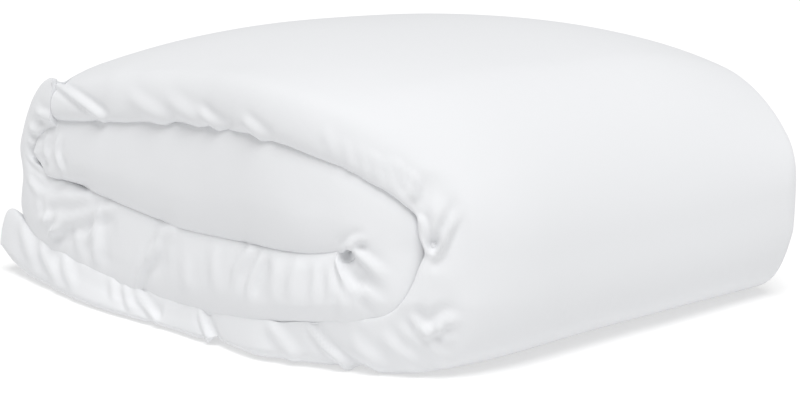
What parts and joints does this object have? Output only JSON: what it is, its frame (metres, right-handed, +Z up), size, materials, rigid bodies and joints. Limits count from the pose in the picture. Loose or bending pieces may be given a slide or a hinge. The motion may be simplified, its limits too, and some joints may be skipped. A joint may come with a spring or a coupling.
{
  "type": "duvet",
  "caption": "White duvet in a plain cotton cover, folded in quarters lengthways and rolled up loosely into a flat, crowned bundle.",
  "frame": {"origin": "bottom centre of the bundle, on the surface that it lies on", "axes": "+Z up; +X towards the smooth outer fold; -Y towards the side where the quarter fold shows as a spiral of round edges; +Y towards the hems"},
  "size_m": [0.626, 0.555, 0.2626],
  "materials": {
    "cover_fabric": "white cotton percale, washed and unironed",
    "filling": "hollow polyester fibre in a thin cambric shell",
    "baffle_tape": "woven cambric strip",
    "button": "moulded polyester, satin",
    "label_tape": "satin label tape, blank"
  },
  "bodies": {
    "base": {"cover_face_bottom": "cover_fabric", "cover_back_bottom": "cover_fabric", "cover_face_outer_fold": "cover_fabric", "cover_back_outer_fold": "cover_fabric", "filled_pocket_row1_ply4": "filling", "filled_pocket_row1_ply1": "filling", "filled_pocket_row1_ply2": "filling", "filled_pocket_row1_ply3": "filling", "filled_pocket_row2_ply4": "filling", "filled_pocket_row2_ply1": "filling", "filled_pocket_row2_ply2": "filling", "filled_pocket_row2_ply3": "filling", "filled_pocket_row3_ply4": "filling", "filled_pocket_row3_ply1": "filling", "filled_pocket_row3_ply2": "filling", "filled_pocket_row3_ply3": "filling", "baffle_1": "baffle_tape", "baffle_2": "baffle_tape"},
    "flap": {"cover_face_flap": "cover_fabric", "cover_back_flap": "cover_fabric", "filled_pocket_row4_ply4": "filling", "filled_pocket_row4_ply1": "filling", "filled_pocket_row4_ply2": "filling", "filled_pocket_row4_ply3": "filling", "filled_pocket_row5_ply4": "filling", "filled_pocket_row5_ply1": "filling", "filled_pocket_row5_ply2": "filling", "filled_pocket_row5_ply3": "filling", "filled_pocket_row6_ply4": "filling", "filled_pocket_row6_ply1": "filling", "filled_pocket_row6_ply2": "filling", "filled_pocket_row6_ply3": "filling", "filled_pocket_row7_ply4": "filling", "filled_pocket_row7_ply1": "filling", "filled_pocket_row7_ply2": "filling", "filled_pocket_row7_ply3": "filling", "filled_pocket_row8_ply4": "filling", "filled_pocket_row8_ply1": "filling", "filled_pocket_row8_ply2": "filling", "filled_pocket_row8_ply3": "filling", "filled_pocket_row9_ply4": "filling", "filled_pocket_row9_ply1": "filling", "filled_pocket_row9_ply2": "filling", "filled_pocket_row9_ply3": "filling", "baffle_3": "baffle_tape", "baffle_4": "baffle_tape", "baffle_5": "baffle_tape", "baffle_6": "baffle_tape", "baffle_7": "baffle_tape", "baffle_8": "baffle_tape", "button_1": "button", "button_2": "button", "button_3": "button", "button_4": "button", "button_5": "button", "button_6": "button", "button_7": "button", "button_8": "button"},
    "label": {"care_label": "label_tape"}
  },
  "joints": [
    {"name": "unroll", "type": "hinge", "parent": "base", "child": "flap", "pos_m": [0.21235, 0, 0.101], "axis": [0, 1, 0], "range_deg": [0, 155], "deforming": ["cover_face_outer_fold", "cover_back_outer_fold", "filled_pocket_row3_ply4", "filled_pocket_row3_ply1", "filled_pocket_row3_ply2", "filled_pocket_row3_ply3"]},
    {"name": "label_swing", "type": "hinge", "parent": "flap", "child": "label", "pos_m": [-0.12, 0.2765, 0.169], "axis": [1, 0, 0], "range_deg": [0, 150]}
  ]
}
